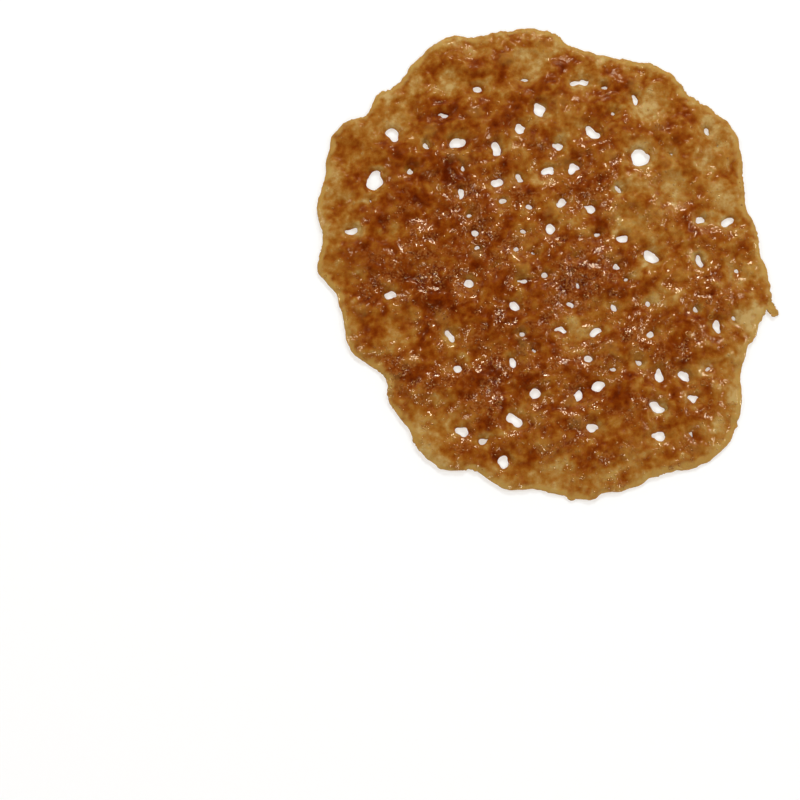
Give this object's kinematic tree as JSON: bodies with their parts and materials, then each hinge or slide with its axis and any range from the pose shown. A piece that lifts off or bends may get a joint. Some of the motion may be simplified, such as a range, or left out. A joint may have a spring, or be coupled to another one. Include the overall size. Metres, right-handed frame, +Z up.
{
  "type": "lace cookie",
  "caption": "Thin, round lace cookie of browned caramel and oats, flat underneath, lumpy on top and pierced all over by small uneven bubble holes, with a ragged rim.",
  "frame": {"origin": "under the middle of the outline's box, on the flat underside", "axes": "+Z up out of the browned top, +X to the right and +Y to the top of the picture"},
  "size_m": [0.0766, 0.0812, 0.0023],
  "materials": {
    "caramel": "baked caramel and oats: amber where thin, red-brown where thick, glossy and finely bubbled"
  },
  "bodies": {
    "root": {"lace_cookie": "caramel"}
  },
  "joints": []
}
